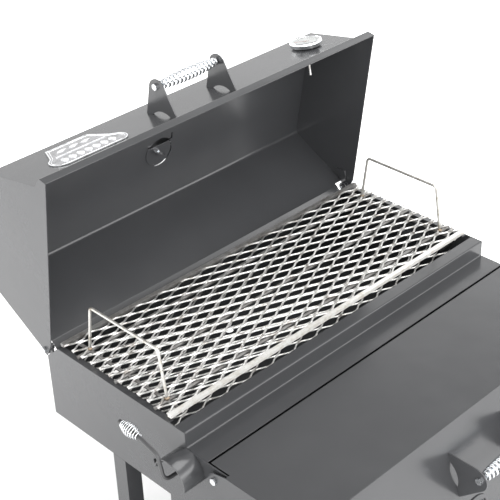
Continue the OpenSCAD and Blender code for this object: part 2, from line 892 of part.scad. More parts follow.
module thermometer_dial() {
    on_dial() translate([0, 0, dial_face_z - 1]) difference() {
        cylinder(h = 0.8, r = dial_r - 6);
        translate([0, 0, -cut]) cylinder(h = 1 + 2 * cut, r = 1 + fit);
    }
}

module thermometer_lens() {
    on_dial() translate([0, 0, dial_t - 3.6]) cylinder(h = 1.6, r = dial_r - 6);
}

module thermometer_needle() {
    on_dial() translate([0, 0, dial_face_z]) rotate(40) {
        translate([0, 0, -2.5]) cylinder(h = 3, r = 1);
        cylinder(h = 0.7, r = 3);
        translate([-0.8, -8, 0]) cube([1.6, dial_r - 4, 0.7]);
    }
}

// Probe through the lid, and the nut that holds the case to it
module thermometer_probe() {
    on_dial() {
        translate([0, 0, -lid_sheet - probe_l]) cylinder(h = probe_l + lid_sheet + 8, r = probe_r);
        translate([0, 0, -lid_sheet - 4]) difference() {
            hexagon(4);
            translate([0, 0, -cut]) cylinder(h = 4 + 2 * cut, r = probe_r);
        }
        difference() {
            cylinder(h = 1, r = 9);
            translate([0, 0, -cut]) cylinder(h = 1 + 2 * cut, r = probe_r);
        }
    }
}

// ---- Exhaust -------------------------------------------------------------

// Hood over the opening, open towards the back of the closed lid
module exhaust_hood() {
    size = [104, 104, 26];
    color(black) stand() open_lid() on_lid_top(exhaust_x, exhaust_u)
        translate([-size.x / 2, -size.y / 2, 0]) difference() {
            cube(size);
            translate([sheet, sheet, -cut])
                cube([size.x - 2 * sheet, size.y, size.z - sheet + cut]);
        }
}

// Plate that turns on its bolt under the opening
module exhaust_plate() {
    color(black) stand() open_lid() on_lid_top(exhaust_x, exhaust_u)
        translate([0, 0, -lid_sheet - gap - exhaust_t]) difference() {
            translate([-5, -4, 0]) cylinder(h = exhaust_t, r = exhaust_r + exhaust_lap - 3);
            translate([vent_pivot.x, vent_pivot.y, -cut])
                cylinder(h = exhaust_t + 2 * cut, r = vent_bolt_r + fit);
            translate([-60, -60, -cut]) cube([120, 38, exhaust_t + 2 * cut]);
        }
}

// Bolt hung from a strap across the opening
module exhaust_bolt() {
    color(zinc) stand() open_lid() on_lid_top(exhaust_x, exhaust_u) {
        translate([vent_pivot.x, vent_pivot.y, -16]) cylinder(h = 17, r = vent_bolt_r);
        translate([-exhaust_r - 8, vent_pivot.y - 6, 0]) cube([2 * exhaust_r + 16, 12, 2]);
    }
}

module exhaust_wing_nut() {
    z = -lid_sheet - 2 * gap - exhaust_t - 6;
    color(zinc) stand() open_lid() on_lid_top(exhaust_x, exhaust_u)
        translate([vent_pivot.x, vent_pivot.y, z]) difference() {
            union() {
                cylinder(h = 6, r = 5.5);
                rotate(35) translate([-14, -1.2, -6]) cube([28, 2.4, 9]);
            }
            translate([0, 0, -8]) cylinder(h = 16, r = vent_bolt_r + fit);
        }
}

// ---- Grates --------------------------------------------------------------

// Sheet of diamond openings between two edge strips
module diamond_sheet(x, y0, y1) {
    rows = floor((y1 - y0 - 2 * strand) / mesh_y * 2) - 1;
    cols = floor((2 * x - 2 * strand) / mesh_x);
    mid = (y0 + y1) / 2;
    difference() {
        translate([-x, y0]) square([2 * x, y1 - y0]);
        for (j = [0:rows - 1], i = [0:cols - (j % 2)]) {
            cx = (i - (cols - (j % 2)) / 2) * mesh_x;
            cy = mid + (j - (rows - 1) / 2) * mesh_y / 2;
            half = [mesh_x / 2 - strand * 1.1, mesh_y / 2 - strand * 0.6];
            if (abs(cx) + half.x < x - strand)
                translate([cx, cy])
                    polygon([[-half.x, 0], [0, -half.y], [half.x, 0], [0, half.y]]);
        }
    }
}

function wire_points() = [for (s = [-1, 1], y = wire_y) [s * wire_x, y]];

module upper_grate_mesh() {
    color(steel) stand() translate([0, 0, mesh_z]) linear_extrude(mesh_t) difference() {
        diamond_sheet(grate_x, grate_y0 + edge_bar, grate_y1 - edge_bar);
        for (p = wire_points()) {
            translate(p) circle(r = wire_r);
        }
    }
}

module upper_grate_bars() {
    color(steel) stand() {
        for (y = [grate_y0, grate_y1 - edge_bar]) {
            translate([-grate_x, y, mesh_z - 3]) cube([2 * grate_x, edge_bar, mesh_t + 3]);
        }
        for (y = rod_y) {
            disc_x(-grate_x, grate_x, y, rod_r, rod_r);
        }
        for (x = [-wire_x, wire_x]) {
            rod([x, grate_y0 + 2, rod_r], [x, grate_y1 - 2, rod_r], rod_r - 0.4);
        }
    }
}

// Wire handles bent into a U, standing on the rods and leaning in towards the top
module upper_grate_handles() {
    top = mesh_z + mesh_t + wire_h - wire_r;
    foot = mesh_z + mesh_t + 6;
    for (x = [-wire_x, wire_x]) {
        path = [[x, wire_y[0], mesh_z], [x, wire_y[0], foot],
            [x, wire_y[0] + wire_lean, top - wire_bend],
            [x, wire_y[0] + wire_lean + wire_bend, top],
            [x, wire_y[1] - wire_lean - wire_bend, top],
            [x, wire_y[1] - wire_lean, top - wire_bend],
            [x, wire_y[1], foot], [x, wire_y[1], mesh_z]];
        color(steel) stand() {
            for (i = [1:len(path) - 1]) {
                rod(path[i - 1], path[i], wire_r);
            }
            for (i = [1:len(path) - 2]) {
                translate(path[i]) sphere(r = wire_r + 0.3);
            }
        }
    }
}

lower_x = half_w - 30;
shelf_w = 42;
lower_y = [rail_w + gap + 32, chamber_d - 45];

// Second grate inside the chamber, on its angle rails
module lower_grate() {
    color(steel) stand() translate([0, 0, -lower_z]) linear_extrude(mesh_t)
        diamond_sheet(lower_x, lower_y[0], lower_y[1]);
}

// Grate in the firebox, its front edge clear of the air vent's bolt
module charcoal_grate() {
    color(steel) stand() translate([0, 0, -charcoal_z]) linear_extrude(mesh_t)
        diamond_sheet(inner_w - 4, vent_bolt_in + 4 - firebox_reach, firebox_back - sheet - 4);
}

// Angle rail along X: a shelf on a leg that is welded to a wall at y
module angle_rail(y, z, side) {
    t = sheet;
    along_x(-inner_w, inner_w) translate([y, z]) scale([side, 1])
        polygon([[0, 0], [rail_angle, 0], [rail_angle, -t], [t, -t], [t, -rail_angle],
            [0, -rail_angle]]);
}

module grate_rails() {
    color(black) stand() {
        for (x = [-inner_w, inner_w - shelf_w]) {
            translate([x, lower_y[0] + 20, -lower_z - sheet])
                cube([shelf_w, lower_y[1] - lower_y[0] - 40, sheet]);
        }
        angle_rail(sheet - firebox_reach, -charcoal_z, 1);
        angle_rail(firebox_back - sheet, -charcoal_z, -1);
    }
}

// ---- Firebox lid ---------------------------------------------------------

module firebox_lid_shell() {
    notch = [cap_in - inner_w + 2, fb_notch];
    color(black) stand() difference() {
        along_x(-cap_in, cap_in) bent_sheet(fb_path, lid_sheet, lid_bend_r);
        both_sides() translate([-cap_in - cut, fb_rear - notch.y, -fb_lid_drop - 10])
            cube([notch.x + cut, notch.y + cut, 20]);
    }
}

// End caps: a round eye on the pivot, then along the top and down the front
module firebox_lid_caps() {
    eye = 17;
    top = -fb_lid_drop;
    color(black) stand() both_sides() difference() {
        along_x(-cap_out, -cap_in) {
            translate(fb_pivot) circle(r = eye);
            polygon(concat(
                [[fb_pivot.x - eye, top - 52], [fb_pivot.x, fb_pivot.y - eye],
                    [fb_pivot.x, fb_pivot.y + eye], [fb_rear - fb_notch, top]],
                bend([0, top], fb_crease, fb_foot, lid_bend_r),
                [fb_foot, fb_foot + [36, 0], [fb_crease.x + 24, top - 52]]));
        }
        disc_x(-cap_out - cut, cut - cap_in, fb_pivot.x, fb_pivot.y, bolt_r + fit);
    }
}

// ---- Damper --------------------------------------------------------------

// Half-round guard welded outside the left panel over the shaft
module damper_guard() {
    color(black) stand() along_x(-half_w - guard_l, -half_w) translate([-6, -77])
        difference() {
            circle(r = guard_r, $fn = 96);
            circle(r = guard_r - 3, $fn = 96);
            rotate(12) translate([-60, -120]) square([120, 120]);
        }
}

// Shaft through both panels, bent outside the left one into an arm
module damper_rod() {
    a = [arm_x, shaft.x, shaft.y];
    b = [arm_x, elbow.x, elbow.y];
    c = [arm_x, knob_from.x, knob_from.y];
    d = [arm_x, knob_to.x, knob_to.y];
    color("#3a3b3d") stand() {
        disc_x(arm_x, half_w + 6, shaft.x, shaft.y, shaft_r);
        rod(a, b, shaft_r);
        rod(b, c, shaft_r);
        rod(c, d, shaft_r);
        for (p = [a, b, c]) {
            translate(p) sphere(r = shaft_r + 0.4);
        }
    }
}

// Flap hung from the shaft, leaning back onto the window
module damper_flap() {
    lean = asin((rail_w - sheet - shaft.x - flap_t / 2 - 2) / flap_l);
    color(black) stand() translate([-flap_w / 2, shaft.x, shaft.y]) rotate([lean, 0, 0])
        difference() {
            union() {
                translate([0, -flap_t / 2, -flap_l]) cube([flap_w, flap_t, flap_l]);
                turn_to_x() cylinder(h = flap_w, r = shaft_r + 3);
            }
            translate([-cut, 0, 0]) turn_to_x() cylinder(h = flap_w + 2 * cut, r = shaft_r);
        }
}

// Egg-shaped knob wound from wire on the end of the arm
module damper_knob() {
    v = knob_to - knob_from;
    color(zinc) stand() translate([arm_x, knob_from.x, knob_from.y])
        rotate([-90 + atan2(v.y, v.x), 0, 0]) rotate_extrude()
            polygon(concat([[shaft_r, 2]],
                [for (i = [0:16])
                    [shaft_r + 1 + (knob_r - shaft_r - 1) * sin(180 * i / 16),
                        2 + (knob_l - 8) * i / 16]],
                [[shaft_r, knob_l - 6]]));
}

side_panel_left();
side_panel_right();
front_rail();
chamber_front_wall();
chamber_rear_wall();
chamber_floor();
firebox_front_wall();
firebox_rear_wall();
firebox_floor();
leg_rear_left();
leg_rear_right();
leg_front_left();
leg_front_right();
leg_glides();
lower_shelf();
axle();
axle_nuts();
wheel_front();
tyre_front();
wheel_rear();
tyre_rear();
damper_guard();
chamber_hinge_lugs();
hinge_bolts();
hinge_nuts();
firebox_lid_stops();
grate_rails();
lid_shell();
lid_cap_left();
lid_cap_right();
lid_hinge_lugs();
lid_handle_ears();
lid_handle_bolt();
lid_handle_coil();
nameplate();
thermometer_case();
thermometer_dial();
thermometer_lens();
thermometer_needle();
thermometer_probe();
exhaust_hood();
exhaust_plate();
exhaust_bolt();
exhaust_wing_nut();
upper_grate_mesh();
upper_grate_bars();
upper_grate_handles();
lower_grate();
charcoal_grate();
firebox_lid_shell();
firebox_lid_caps();
firebox_handle_ears();
firebox_handle_bolt();
firebox_handle_coil();
damper_rod();
damper_flap();
damper_knob();
ash_drawer();
air_vent_disc();
air_vent_bolt();
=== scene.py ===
"""Looks of the offset smoker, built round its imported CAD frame. Metres, in the frame's axes."""

import json
import math
import random

import bmesh
import bpy
from mathutils import Matrix, Vector


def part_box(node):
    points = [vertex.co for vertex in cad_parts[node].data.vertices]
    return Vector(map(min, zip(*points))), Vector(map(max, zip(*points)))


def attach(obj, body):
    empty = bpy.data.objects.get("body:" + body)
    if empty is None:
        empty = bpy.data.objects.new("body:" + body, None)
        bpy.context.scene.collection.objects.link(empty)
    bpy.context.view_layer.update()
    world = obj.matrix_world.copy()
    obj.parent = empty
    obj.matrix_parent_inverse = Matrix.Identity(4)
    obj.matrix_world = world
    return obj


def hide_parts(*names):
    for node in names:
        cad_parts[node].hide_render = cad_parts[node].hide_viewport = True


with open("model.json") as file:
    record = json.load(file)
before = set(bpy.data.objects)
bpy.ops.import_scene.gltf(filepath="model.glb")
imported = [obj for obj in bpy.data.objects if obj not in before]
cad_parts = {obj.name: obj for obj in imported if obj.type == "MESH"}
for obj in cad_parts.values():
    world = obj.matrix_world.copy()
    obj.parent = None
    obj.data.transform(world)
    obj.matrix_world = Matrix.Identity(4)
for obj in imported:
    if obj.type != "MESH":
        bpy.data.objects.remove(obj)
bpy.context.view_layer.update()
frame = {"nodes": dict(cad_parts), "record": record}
random.seed(7)

MM = 0.001
JOINTS = {joint["name"]: joint for joint in frame["record"]["behaviour"]["joints"]}
SLOTS = {part["node"]: part["material_slot"] for part in frame["record"]["subparts"]}


def low(node):
    return Vector(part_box(node)[0])


def high(node):
    return Vector(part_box(node)[1])


def middle(node):
    return (low(node) + high(node)) / 2


# The middle of the front rail's face, at the rim's height; the ledge stands out in front of it
LEDGE = 57 * MM
RIM = Vector((0, low("front_rail").y + LEDGE, high("front_rail").z))


# The lid's front panel: its outward normal is the thermometer's axis
LID_N = Vector(JOINTS["needle_turn"]["axis"]).normalized()
LID_X = Vector((1, 0, 0))
LID_UP = LID_N.cross(LID_X)
DIAL = Vector(JOINTS["needle_turn"]["pos_m"])


# Near the back of the upper grate's front edge bar, where the bar's painted highlight gives way to painted
# shade on the rods under the mesh
EDGE_BAR_BACK = low("upper_grate_bars").y + 8 * MM


# ---- Materials -------------------------------------------------------------


class Nodes:
    """Short names for building one material's node tree."""

    def __init__(self, name):
        self.material = bpy.data.materials.new(name)
        self.material.use_nodes = True
        self.tree = self.material.node_tree
        self.bsdf = self.tree.nodes["Principled BSDF"]
        self.place = self.node("ShaderNodeTexCoord").outputs["Object"]

    def node(self, kind, **inputs):
        made = self.tree.nodes.new(kind)
        for key, value in inputs.items():
            socket = made.inputs[key]
            if hasattr(value, "links"):
                self.tree.links.new(value, socket)
            else:
                socket.default_value = value
        return made

    def noise(self, scale, detail=3.0, rough=0.5, stretch=None):
        place = self.place
        if stretch:
            mapping = self.node("ShaderNodeMapping", Vector=place, Scale=stretch)
            place = mapping.outputs["Vector"]
        made = self.node("ShaderNodeTexNoise", Vector=place, Scale=scale, Detail=detail, Roughness=rough)
        return made.outputs["Fac"]

    def ramp(self, fac, stops):
        made = self.node("ShaderNodeValToRGB", Fac=fac)
        elements = made.color_ramp.elements
        while len(elements) < len(stops):
            elements.new(0.5)
        for element, (position, colour) in zip(elements, stops):
            element.position = position
            element.color = (*colour, 1) if isinstance(colour, tuple) else (colour, colour, colour, 1)
        return made.outputs["Color"]

    def span(self, fac, low_value, high_value):
        """fac, from 0.3 to 0.7, spread over a range of values."""
        made = self.node("ShaderNodeMapRange", Value=fac)
        made.inputs["From Min"].default_value = 0.3
        made.inputs["From Max"].default_value = 0.7
        made.inputs["To Min"].default_value = low_value
        made.inputs["To Max"].default_value = high_value
        return made.outputs["Result"]

    def bump(self, height, distance, strength=1.0):
        made = self.node("ShaderNodeBump", Height=height, Distance=distance, Strength=strength)
        if self.bsdf.inputs["Normal"].links:
            before = self.bsdf.inputs["Normal"].links[0].from_socket
            self.tree.links.new(before, made.inputs["Normal"])
        self.link(made.outputs["Normal"], "Normal")

    def link(self, output, socket):
        self.tree.links.new(output, self.bsdf.inputs[socket])

    def set(self, **values):
        for key, value in values.items():
            self.bsdf.inputs[key.replace("_", " ")].default_value = value


def paint(name, tone, rough, speckle):
    """Semi-gloss black paint: cloudy gloss, faint orange peel, dust specks."""
    m = Nodes(name)
    cloud = m.noise(5.0, 4.0)
    m.link(m.ramp(cloud, [(0.3, tuple(c * 0.85 for c in tone)), (0.7, tone)]), "Base Color")
    m.link(m.span(m.noise(9.0, 5.0, 0.6), rough * 0.85, rough * 1.2), "Roughness")
    m.set(IOR=1.55)
    m.bsdf.inputs["Specular IOR Level"].default_value = 0.62
    m.bump(m.noise(420.0, 2.0), 0.00003)
    m.bump(m.noise(14.0, 2.0), speckle)
    return m.material


def metal(name, tone, rough, grain, stretch=(1, 1, 1), stain=None, metallic=1.0):
    """Bare or plated metal: brushed grain, uneven gloss and a little staining."""
    m = Nodes(name)
    cloud = m.noise(60.0, 5.0, 0.65)
    dark = stain or tuple(c * 0.72 for c in tone)
    light = tuple(min(1, c * 1.06) for c in tone)
    m.link(m.ramp(cloud, [(0.33, dark), (0.5, tone), (0.75, light)]), "Base Color")
    m.set(Metallic=metallic)
    m.link(m.span(m.noise(150.0, 3.0, 0.6, stretch), rough * 0.7, rough * 1.35), "Roughness")
    m.bump(m.noise(900.0, 2.0, 0.5, stretch), grain)
    return m.material


def grate_bars():
    """Painted highlight along the front edge bar, painted shade on the rods under the mesh: one steel in a
    lit and a shaded tone.
    """
    m = Nodes("grate_bars")
    split = m.node("ShaderNodeSeparateXYZ", Vector=m.place)
    edge = m.node("ShaderNodeMapRange", Value=split.outputs["Y"])
    edge.inputs["From Min"].default_value = EDGE_BAR_BACK
    edge.inputs["From Max"].default_value = EDGE_BAR_BACK + 5 * MM
    # Painted shade: dark grey for the rods under the mesh, where shade falls
    grey = m.ramp(m.noise(60.0, 5.0, 0.65), [(0.33, (0.14, 0.13, 0.12)), (0.6, (0.24, 0.236, 0.23))])
    # Painted highlight: light steel for the lit front edge bar
    bright = m.ramp(m.noise(60.0, 5.0, 0.65), [(0.33, (0.7, 0.66, 0.6)), (0.55, (0.86, 0.85, 0.82))])
    blend = m.node("ShaderNodeMix")
    blend.data_type = "RGBA"
    m.tree.links.new(edge.outputs["Result"], blend.inputs[0])
    m.tree.links.new(bright, blend.inputs[6])
    m.tree.links.new(grey, blend.inputs[7])
    m.link(blend.outputs[2], "Base Color")
    m.set(Metallic=0.45)
    m.link(m.span(m.noise(150.0, 3.0, 0.6, (1, 6, 6)), 0.26, 0.46), "Roughness")
    m.bump(m.noise(900.0, 2.0, 0.5, (1, 6, 6)), 0.00005)
    return m.material


def plastic(name, tone, rough, grain):
    m = Nodes(name)
    m.link(m.ramp(m.noise(30.0, 4.0), [(0.3, tuple(c * 0.7 for c in tone)), (0.7, tone)]), "Base Color")
    m.link(m.span(m.noise(80.0), rough * 0.8, rough * 1.15), "Roughness")
    m.bump(m.noise(700.0, 2.0), grain)
    return m.material


def glass(name):
    m = Nodes(name)
    m.set(Base_Color=(0.97, 0.98, 0.98, 1), IOR=1.5, Transmission_Weight=1.0)
    m.link(m.span(m.noise(60.0, 4.0), 0.0, 0.03), "Roughness")
    return m.material


MATERIALS = {
    "black_paint": paint("black_paint", (0.05, 0.051, 0.054), 0.2, 0.0004),
    "black_rod": paint("black_rod", (0.04, 0.04, 0.042), 0.38, 0.0002),
    "bare_steel": metal("bare_steel", (0.58, 0.576, 0.56), 0.3, 0.00006, (1, 6, 6), (0.27, 0.25, 0.23)),
    "grate_bars": grate_bars(),
    "satin_wire": metal("satin_wire", (0.62, 0.61, 0.58), 0.34, 0.00003,
                        stain=(0.4, 0.36, 0.3), metallic=0.8),
    "zinc": metal("zinc", (0.8, 0.82, 0.84), 0.24, 0.00004),
    "nickel_wire": metal("nickel_wire", (0.88, 0.9, 0.92), 0.14, 0.00002),
    "chrome": metal("chrome", (0.9, 0.91, 0.92), 0.09, 0.00001),
    "dial_face": plastic("dial_face", (0.86, 0.86, 0.84), 0.5, 0.00001),
    "dial_glass": glass("dial_glass"),
    "needle_red": plastic("needle_red", (0.5, 0.04, 0.03), 0.4, 0.00001),
    "black_plastic": plastic("black_plastic", (0.03, 0.03, 0.031), 0.45, 0.00004),
    "rubber": plastic("rubber", (0.025, 0.025, 0.026), 0.75, 0.0001),
    "plate_field": metal("plate_field", (0.36, 0.36, 0.37), 0.3, 0.00005),
    "dial_print": plastic("dial_print", (0.03, 0.03, 0.03), 0.5, 0.00001),
    "heat_tint": metal("heat_tint", (0.34, 0.27, 0.2), 0.42, 0.0001),
}


# ---- Mesh helpers ----------------------------------------------------------


def new_piece(name, verts, faces, material, body, replaces=(), smooth=False, slot=None):
    mesh = bpy.data.meshes.new(name)
    mesh.from_pydata([tuple(v) for v in verts], [], faces)
    mesh.validate()
    piece = bpy.data.objects.new(name, mesh)
    bpy.context.scene.collection.objects.link(piece)
    mesh.materials.append(MATERIALS[material])
    mesh.shade_smooth() if smooth else mesh.shade_flat()
    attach(piece, body)
    if replaces:
        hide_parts(*replaces)
    return piece


def sweep(points, section, start_up=None):
    """Verts and faces of a section, a list of (side, up) pairs or a function of the step, along points."""
    verts, faces = [], []
    count = len(points)
    up = start_up
    for i, point in enumerate(points):
        ahead = points[min(i + 1, count - 1)] - points[max(i - 1, 0)]
        ahead.normalize()
        if up is None:
            up = Vector((0, 0, 1)) if abs(ahead.z) < 0.9 else Vector((1, 0, 0))
        up = (up - ahead * up.dot(ahead)).normalized()
        side = ahead.cross(up)
        ring = section(i) if callable(section) else section
        verts += [point + side * a + up * b for a, b in ring]
    n = len(ring)
    for i in range(count - 1):
        for k in range(n):
            a, b = i * n + k, i * n + (k + 1) % n
            faces.append((a, b, b + n, a + n))
    faces.append(tuple(range(n))[::-1])
    faces.append(tuple(range((count - 1) * n, count * n)))
    return verts, faces


def circle(radius, sides=12):
    return [(radius * math.cos(2 * math.pi * k / sides), radius * math.sin(2 * math.pi * k / sides))
            for k in range(sides)]


def rounded(points, radius, steps=8):
    """The points with each inner corner replaced by a smooth arc."""
    path = [points[0]]
    for before, corner, after in zip(points, points[1:], points[2:]):
        a = (before - corner).normalized()
        b = (after - corner).normalized()
        half = a.angle(b) / 2
        reach = min(radius / math.tan(half), (before - corner).length * 0.48, (after - corner).length * 0.48)
        start, end = corner + a * reach, corner + b * reach
        for i in range(steps + 1):
            t = i / steps
            path.append(start * (1 - t) ** 2 + corner * 2 * t * (1 - t) + end * t ** 2)
    path.append(points[-1])
    return path


def join(parts):
    verts, faces = [], []
    for part_verts, part_faces in parts:
        base = len(verts)
        verts += part_verts
        faces += [tuple(k + base for k in face) for face in part_faces]
    return verts, faces


# ---- Expanded metal ---------------------------------------------------------


# One opening, along and across its strands
LONG_WAY = 65 * MM
SHORT_WAY = 28.3 * MM
# How far a strand leans back, and how much less where it meets the next one, in degrees
TILT = 40
UNTWIST = 6
# Share of half an opening that a strand takes to cross over, either side of its middle
CROSSING = 0.42
# Share of a strand's half width by which neighbours meet
BOND = 0.8


def expanded_metal(x0, x1, y0, y1, z, width=4.0 * MM, thick=2.1 * MM, fine=True):
    """Slit and stretched sheet: wavy strands side by side, joined where they meet, each leaning back."""
    rows = round((y1 - y0) / (SHORT_WAY / 2))
    pitch = (y1 - y0) / rows
    half = LONG_WAY / 2
    columns = math.ceil((x1 - x0) / half)
    steps = (0, 0.1, 0.19, 0.29, 0.4, 0.5, 0.6, 0.71, 0.81, 0.9) if fine else (0, 0.15, 0.85)
    w, t = width / 2, thick / 2
    c = t * 0.6
    corners = [(-w + c, -t), (w - c, -t), (w, -t + c), (w, t - c),
               (w - c, t), (-w + c, t), (-w, t - c), (-w, -t + c)]
    if not fine:
        corners = [(-w, -t), (w, -t), (w, t), (-w, t)]
    parts = []
    for row in range(rows):
        points, leans = [], []
        jitter = random.uniform(-0.3, 0.3) * MM
        for column in range(columns + 1):
            lift = random.uniform(-0.25, 0.25) * MM
            for step in steps:
                x = x0 + (column + step) * half + jitter
                if x > x1 + half * 0.1:
                    break
                swing = math.sin(math.pi / 2 * max(-1, min(1, (step - 0.5) / CROSSING)))
                if (row + column) % 2:
                    swing = -swing
                lean = math.radians(TILT - UNTWIST * abs(swing))
                reach = pitch / 2 - w * math.cos(lean) * BOND
                y = y0 + (row + 0.5) * pitch + swing * reach
                points.append(Vector((min(x, x1), y, z - swing * w * math.sin(lean) + lift)))
                leans.append(lean)

        def section(i):
            sine, cosine = math.sin(leans[i]), math.cos(leans[i])
            return [(-(a * cosine - b * sine), a * sine + b * cosine) for a, b in corners]

        parts.append(sweep(points, section, Vector((0, 0, 1))))
    return join(parts)


def grate(name, node, body, **strand):
    """The mesh that fills one grate's flat node."""
    mesh = expanded_metal(low(node).x, high(node).x, low(node).y, high(node).y, middle(node).z, **strand)
    new_piece(name, *mesh, "bare_steel", body, [node])


grate("upper_mesh", "upper_grate_mesh", "upper_grate")
grate("lower_mesh", "lower_grate", "lower_grate", width=3.7 * MM)
grate("charcoal_mesh", "charcoal_grate", "charcoal_grate", thick=3 * MM, fine=False)


# ---- Wire handles of the upper grate ----------------------------------------

WIRE_R = 3.2 * MM
WIRE_BALL = 0.3 * MM
WIRE_LEAN = 16 * MM
WIRE_BEND = 11 * MM
# The wire stands nearly upright this far above its foot, then leans in
WIRE_FOOT = 9 * MM
WIRE_KICK = 1 * MM
handles_low, handles_high = low("upper_grate_handles"), high("upper_grate_handles")
wire_x = handles_high.x - WIRE_R - WIRE_BALL
wire_y = (handles_low.y + WIRE_R + WIRE_BALL, handles_high.y - WIRE_R - WIRE_BALL)
wire_top = handles_high.z - WIRE_R - WIRE_BALL
parts = []
for x in (-wire_x, wire_x):
    corners = [Vector((x, wire_y[0], handles_low.z)),
               Vector((x, wire_y[0] + WIRE_KICK, handles_low.z + WIRE_FOOT)),
               Vector((x, wire_y[0] + WIRE_LEAN, wire_top)),
               Vector((x, wire_y[1] - WIRE_LEAN, wire_top)),
               Vector((x, wire_y[1] - WIRE_KICK, handles_low.z + WIRE_FOOT)),
               Vector((x, wire_y[1], handles_low.z))]
    parts.append(sweep(rounded(corners, WIRE_BEND, 10), circle(WIRE_R, 14)))
new_piece("wire_handles", *join(parts), "satin_wire", "upper_grate", ["upper_grate_handles"], smooth=True,
          slot="bare_steel")


def blob(centre, size, seed):
    """A lumpy bead of weld metal."""
    dice = random.Random(seed)
    verts, faces = [], []
    rings, sides = 6, 10
    for i in range(rings + 1):
        a = math.pi * i / rings
        for k in range(sides):
            b = 2 * math.pi * k / sides
            lump = 1 + dice.uniform(-0.14, 0.14)
            ray = Vector((math.sin(a) * math.cos(b), math.sin(a) * math.sin(b), math.cos(a)))
            verts.append(centre + ray * size * lump)
    for i in range(rings):
        for k in range(sides):
            a, b = i * sides + k, i * sides + (k + 1) % sides
            faces.append((a, b, b + sides, a + sides))
    return verts, faces


feet = [blob(Vector((x, y, handles_low.z + 2 * MM)), Vector((5.5, 5.5, 4)) * MM, seed)
        for seed, (x, y) in enumerate((x, y) for x in (-wire_x, wire_x) for y in wire_y)]
new_piece("handle_welds", *join(feet), "heat_tint", "upper_grate", smooth=True, slot="bare_steel")


# ---- Wound grips ------------------------------------------------------------


def helix(start, axis, length, turns, radius, per_turn=22):
    """Points of a coil along an axis; radius is a function of the way along, from 0 to 1."""
    axis = axis.normalized()
    side = axis.orthogonal().normalized()
    up = axis.cross(side)
    points = []
    count = int(turns * per_turn)
    for i in range(count + 1):
        t = i / count
        a = 2 * math.pi * turns * t
        points.append(start + axis * length * t + (side * math.cos(a) + up * math.sin(a)) * radius(t))
    return points


EAR_T = 3 * MM
HANDLE_W = high("lid_handle_ears").x - low("lid_handle_ears").x
GRIP_WIRE = 2.5 * MM
GRIP_TURNS = 15.5
GRIP_MIDDLE_R = 15 * MM
GRIP_END_R = 8.5 * MM


def grip(name, bolt, body, coil):
    centre = middle(bolt)
    inside = HANDLE_W - 2 * EAR_T - 2 * GRIP_WIRE
    start = Vector((middle(coil).x - inside / 2, centre.y, centre.z))
    swell = GRIP_MIDDLE_R - GRIP_END_R
    path = helix(start, Vector((1, 0, 0)), inside, GRIP_TURNS,
                 lambda t: GRIP_END_R + swell * math.sin(math.pi * t) ** 0.8 - GRIP_WIRE)
    new_piece(name, *sweep(path, circle(GRIP_WIRE, 10)), "nickel_wire", body, [coil], smooth=True)


grip("lid_grip", "lid_handle_bolt", "smoker_lid", "lid_handle_coil")
grip("firebox_grip", "firebox_handle_bolt", "firebox_lid", "firebox_handle_coil")


# ---- Damper arm -------------------------------------------------------------

SHAFT_R = 4 * MM
SHAFT_BALL = 0.4 * MM
ARM_BEND = 17 * MM
KNOB_WIRE = 1.15 * MM
KNOB_TURNS = 9.5
KNOB_END_R = 5.4 * MM
KNOB_SWELL = 7 * MM
# Shares of the arm's last stretch at which the knob's coil starts, and that it covers
KNOB_START, KNOB_LENGTH = 0.04, 0.86
shaft = Vector(JOINTS["damper_turn"]["pos_m"])
arm_x = low("damper_rod").x + SHAFT_R + SHAFT_BALL
shaft_end = high("damper_rod").x


def arm_point(y, z):
    """A point of the damper's arm, in millimetres back from and above its shaft."""
    return Vector((arm_x, shaft.y + y * MM, shaft.z + z * MM))


elbow = arm_point(15, 54)
knob_from = arm_point(62, 67)
knob_to = arm_point(121.4, 74.8)
corners = [Vector((shaft_end, shaft.y, shaft.z)), arm_point(0, 0), elbow, knob_from, knob_to]
new_piece("damper_bar", *sweep(rounded(corners, ARM_BEND, 10), circle(SHAFT_R, 16)), "black_rod",
          "damper", ["damper_rod"], smooth=True)
knob_axis = knob_to - knob_from
path = helix(knob_from + knob_axis * KNOB_START, knob_axis, knob_axis.length * KNOB_LENGTH, KNOB_TURNS,
             lambda t: KNOB_END_R + KNOB_SWELL * math.sin(math.pi * t) ** 1.2, 24)
new_piece("damper_coil", *sweep(path, circle(KNOB_WIRE, 8)), "nickel_wire", "damper",
          ["damper_knob"], smooth=True)


# ---- Nameplate --------------------------------------------------------------


def plate_outline(w, h, inset):
    """A barn shape on a wide foot with round ends, drawn inset from its edge."""
    end_r = 0.26 * h
    r = end_r - inset
    end = w / 2 - end_r
    points = [Vector((-end - r * math.sin(a), end_r - r * math.cos(a)))
              for a in [math.pi * k / 10 for k in range(9)]]
    shoulder, top = 0.4 * w - inset * 1.1, 0.28 * w - inset * 0.8
    points += [Vector((-shoulder, 0.54 * h - inset * 0.3)), Vector((-top, h - inset))]
    return points + [Vector((-p.x, p.y)) for p in reversed(points)]


def lid_place(origin, point, height):
    return origin + LID_X * point.x + LID_UP * point.y + LID_N * height


def slab(outline, base, top):
    """Closed prism on an outline, as points with their heights."""
    n = len(outline)
    verts = [(p, base) for p in outline] + [(p, top) for p in outline]
    faces = [tuple(range(n))[::-1], tuple(range(n, 2 * n))]
    faces += [(k, (k + 1) % n, (k + 1) % n + n, k + n) for k in range(n)]
    return verts, faces


def ring(outer, inner, base, top):
    """Raised border between two outlines with a chamfer."""
    n = len(outer)
    loops = [(outer, base), (outer, top - 0.3 * MM), ([a.lerp(b, 0.2) for a, b in zip(outer, inner)], top),
             ([a.lerp(b, 0.8) for a, b in zip(outer, inner)], top), (inner, base)]
    verts = [(p, z) for loop, z in loops for p in loop]
    faces = []
    last = (len(loops) - 1) * n
    for start in range(0, last, n):
        faces += [(start + k, start + (k + 1) % n, start + n + (k + 1) % n, start + n + k) for k in range(n)]
    faces += [(last + k, last + (k + 1) % n, (k + 1) % n, k) for k in range(n)]
    return verts, faces


